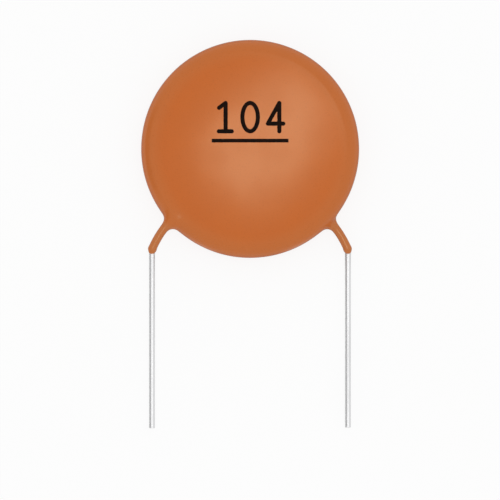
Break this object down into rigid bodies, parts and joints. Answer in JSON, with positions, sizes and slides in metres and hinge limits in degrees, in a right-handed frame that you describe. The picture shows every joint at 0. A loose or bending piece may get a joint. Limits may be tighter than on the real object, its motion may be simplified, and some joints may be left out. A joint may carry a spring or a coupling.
{
  "type": "ceramic disc capacitor",
  "caption": "Flat round ceramic disc capacitor in a glossy dipped resin coat, with straight radial wire leads that leave it through short resin tails.",
  "frame": {"origin": "on the axis of the disc, in the plane of the flat in the middle of its rear face, on which it rests", "axes": "+Z along the disc axis, out of the front face; -Y the way the leads point; X along the lead pitch, with the left lead at -X"},
  "size_m": [0.0166, 0.0297, 0.003],
  "materials": {
    "dipped_resin": "gloss",
    "fired_ceramic": "matte",
    "fired_silver": "matte",
    "solder": "satin",
    "tinned_wire": "satin",
    "marking_ink": "matte"
  },
  "bodies": {
    "root": {"coating": "dipped_resin", "ceramic_disc": "fired_ceramic", "front_electrode": "fired_silver", "rear_electrode": "fired_silver", "front_solder": "solder", "rear_solder": "solder", "left_lead": "tinned_wire", "right_lead": "tinned_wire"}
  },
  "joints": []
}
